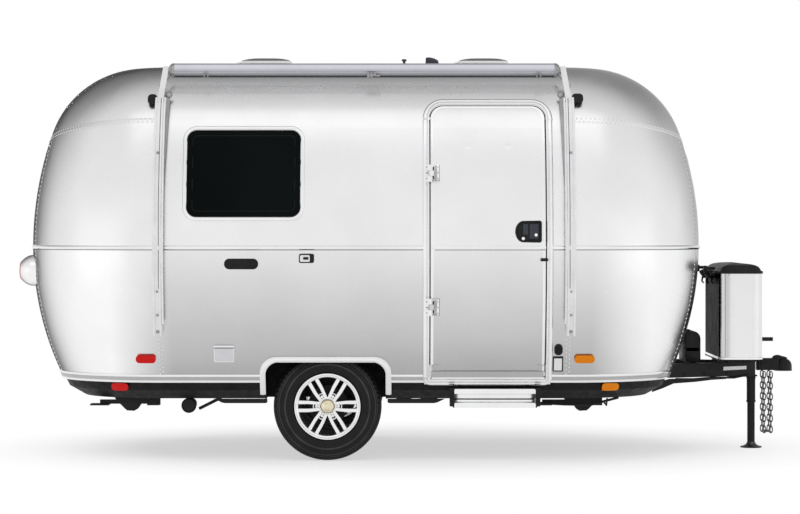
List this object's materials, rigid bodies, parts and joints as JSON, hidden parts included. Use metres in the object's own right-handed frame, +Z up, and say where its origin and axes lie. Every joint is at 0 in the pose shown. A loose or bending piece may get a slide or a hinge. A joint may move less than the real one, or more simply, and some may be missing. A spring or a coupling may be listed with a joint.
{
  "type": "travel caravan",
  "caption": "Rounded aluminium travel caravan on one axle, with drawbar, coupler, jack, entry door, step, windows, rolled awning and roof vents.",
  "frame": {"origin": "on the ground, at the middle of the whole caravan's length and width", "axes": "+X forward to the coupler, +Y to the caravan's left, +Z up"},
  "size_m": [5.036, 2.492, 2.58],
  "materials": {
    "shell": "satin bare aluminium sheet",
    "trim": "polished extruded aluminium",
    "brushed": "brushed vertically",
    "black_steel": "semi-gloss black",
    "pan": "black",
    "zinc": "dark plated",
    "black_plastic": "moulded black",
    "white_plastic": "moulded white",
    "smoke_plastic": "smoked",
    "tank_paint": "white",
    "wheel": "machined alloy",
    "tyre": "rubber",
    "glass": "dark tinted",
    "red_lens": "clear red",
    "amber_lens": "clear amber",
    "floor": "sheet flooring"
  },
  "bodies": {
    "caravan": {"a_frame": "black_steel", "amber_lamps": "amber_lens", "antenna": "black_plastic", "awning_arms": "trim", "awning_roller": "trim", "axle": "black_steel", "battery_box": "black_plastic", "belly_pan": "pan", "belt_moulding": "trim", "clearance_lamps": "black_plastic", "coupler": "black_steel", "door_frame": "trim", "door_hinges": "trim", "drain_outlet": "black_plastic", "end_shell_front": "shell", "end_shell_rear": "shell", "floor": "floor", "gas_tanks": "tank_paint", "hatch_rim": "trim", "jack_tube": "black_steel", "lower_trim": "trim", "red_lamps": "red_lens", "roof": "shell", "safety_chains": "zinc", "side_wall_left": "shell", "side_wall_right": "shell", "stabilizer_mounts": "black_steel", "step_guides": "black_steel", "tail_lamp_lenses": "red_lens", "tail_lamp_pods": "trim", "tank_cover": "brushed", "vent_bases": "white_plastic", "wall_fittings": "black_plastic", "wheel_arch_trims": "trim", "wheel_wells": "pan", "window_frames": "trim", "window_glass": "glass"},
    "wheel_left": {"tyre_left": "tyre", "rim_left": "wheel", "hub_left": "black_steel"},
    "wheel_right": {"tyre_right": "tyre", "rim_right": "wheel", "hub_right": "black_steel"},
    "door": {"door": "shell", "door_handle": "black_plastic"},
    "jack_leg": {"jack_leg": "zinc"},
    "step": {"step_slide": "black_steel", "step_treads": "trim"},
    "tank_lid": {"tank_lid": "black_plastic"},
    "vent_lid_front": {"vent_lid_front": "smoke_plastic"},
    "vent_lid_rear": {"vent_lid_rear": "smoke_plastic"},
    "hatch_lid": {"hatch_lid": "trim"},
    "stabilizer_front_left": {"stabilizer_front_left": "black_steel"},
    "stabilizer_front_right": {"stabilizer_front_right": "black_steel"},
    "stabilizer_rear_left": {"stabilizer_rear_left": "black_steel"},
    "stabilizer_rear_right": {"stabilizer_rear_right": "black_steel"}
  },
  "joints": [
    {"name": "wheel_left_spin", "type": "hinge", "parent": "caravan", "child": "wheel_left", "pos_m": [-0.53, 0.9, 0.338], "axis": [0, 1, 0], "continuous": true},
    {"name": "wheel_right_spin", "type": "hinge", "parent": "caravan", "child": "wheel_right", "pos_m": [-0.53, -0.9, 0.338], "axis": [0, 1, 0], "continuous": true},
    {"name": "door_hinge", "type": "hinge", "parent": "caravan", "child": "door", "pos_m": [0.111, -1.23, 1.3], "axis": [0, 0, -1], "range_deg": [0, 150]},
    {"name": "jack_slide", "type": "slide", "parent": "caravan", "child": "jack_leg", "axis": [0, 0, 1], "range_m": [0, 0.26]},
    {"name": "step_slide", "type": "slide", "parent": "caravan", "child": "step", "axis": [0, -1, 0], "range_m": [0, 0.2]},
    {"name": "tank_lid_hinge", "type": "hinge", "parent": "caravan", "child": "tank_lid", "pos_m": [1.967, 0, 1.1655], "axis": [0, -1, 0], "range_deg": [0, 90]},
    {"name": "hatch_hinge", "type": "hinge", "parent": "caravan", "child": "hatch_lid", "pos_m": [-1.168, -1.11095, 0.703], "axis": [-1, 0, 0], "range_deg": [0, 90]},
    {"name": "vent_front_hinge", "type": "hinge", "parent": "caravan", "child": "vent_lid_front", "pos_m": [0.289, 0, 2.532], "axis": [0, -1, 0], "range_deg": [0, 70]},
    {"name": "vent_rear_hinge", "type": "hinge", "parent": "caravan", "child": "vent_lid_rear", "pos_m": [-1.137, 0, 2.532], "axis": [0, -1, 0], "range_deg": [0, 70]},
    {"name": "stabilizer_front_left_hinge", "type": "hinge", "parent": "caravan", "child": "stabilizer_front_left", "pos_m": [1.165, 0.7, 0.35], "axis": [0, -1, 0], "range_deg": [0, 54]},
    {"name": "stabilizer_front_right_hinge", "type": "hinge", "parent": "caravan", "child": "stabilizer_front_right", "pos_m": [1.165, -0.7, 0.35], "axis": [0, -1, 0], "range_deg": [0, 54]},
    {"name": "stabilizer_rear_left_hinge", "type": "hinge", "parent": "caravan", "child": "stabilizer_rear_left", "pos_m": [-1.64, 0.7, 0.35], "axis": [0, -1, 0], "range_deg": [0, 54]},
    {"name": "stabilizer_rear_right_hinge", "type": "hinge", "parent": "caravan", "child": "stabilizer_rear_right", "pos_m": [-1.64, -0.7, 0.35], "axis": [0, -1, 0], "range_deg": [0, 54]}
  ]
}
